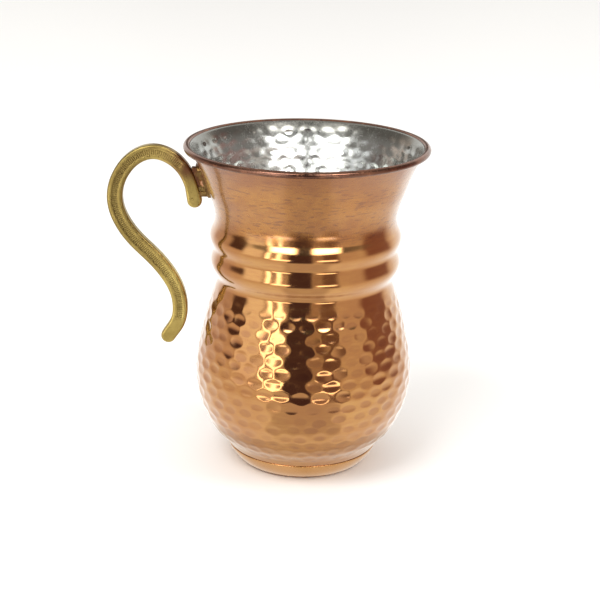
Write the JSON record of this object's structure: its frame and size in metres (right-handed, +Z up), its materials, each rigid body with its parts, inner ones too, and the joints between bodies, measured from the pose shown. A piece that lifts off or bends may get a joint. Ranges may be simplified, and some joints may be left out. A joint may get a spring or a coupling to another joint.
{
  "type": "drinking mug",
  "caption": "Hammered copper drinking mug with a pear-shaped belly, beaded neck, rolled rim, tin-lined inside and a cast brass crook handle.",
  "frame": {"origin": "centre of the flat resting ring, on the mug's axis", "axes": "+Z up along the mug's axis, the handle reaches towards -X, +Y is square to the handle's plane"},
  "size_m": [0.1255, 0.0956, 0.13],
  "materials": {
    "copper_sheet": "hammered and polished copper",
    "copper_base": "satin spun copper",
    "solder": "wiped soft solder",
    "steel_wire": "drawn iron wire",
    "tin": "hand-wiped bright tin",
    "cast_brass": "cast, filed and lightly aged brass",
    "copper_rivet": "peened copper"
  },
  "bodies": {
    "root": {"body_shell": "copper_sheet", "base_pan": "copper_base", "base_solder_seam": "solder", "rim_wire": "steel_wire", "tin_lining": "tin", "handle_bar": "cast_brass", "handle_saddle": "cast_brass", "rivet_front": "copper_rivet", "rivet_back": "copper_rivet"}
  },
  "joints": []
}
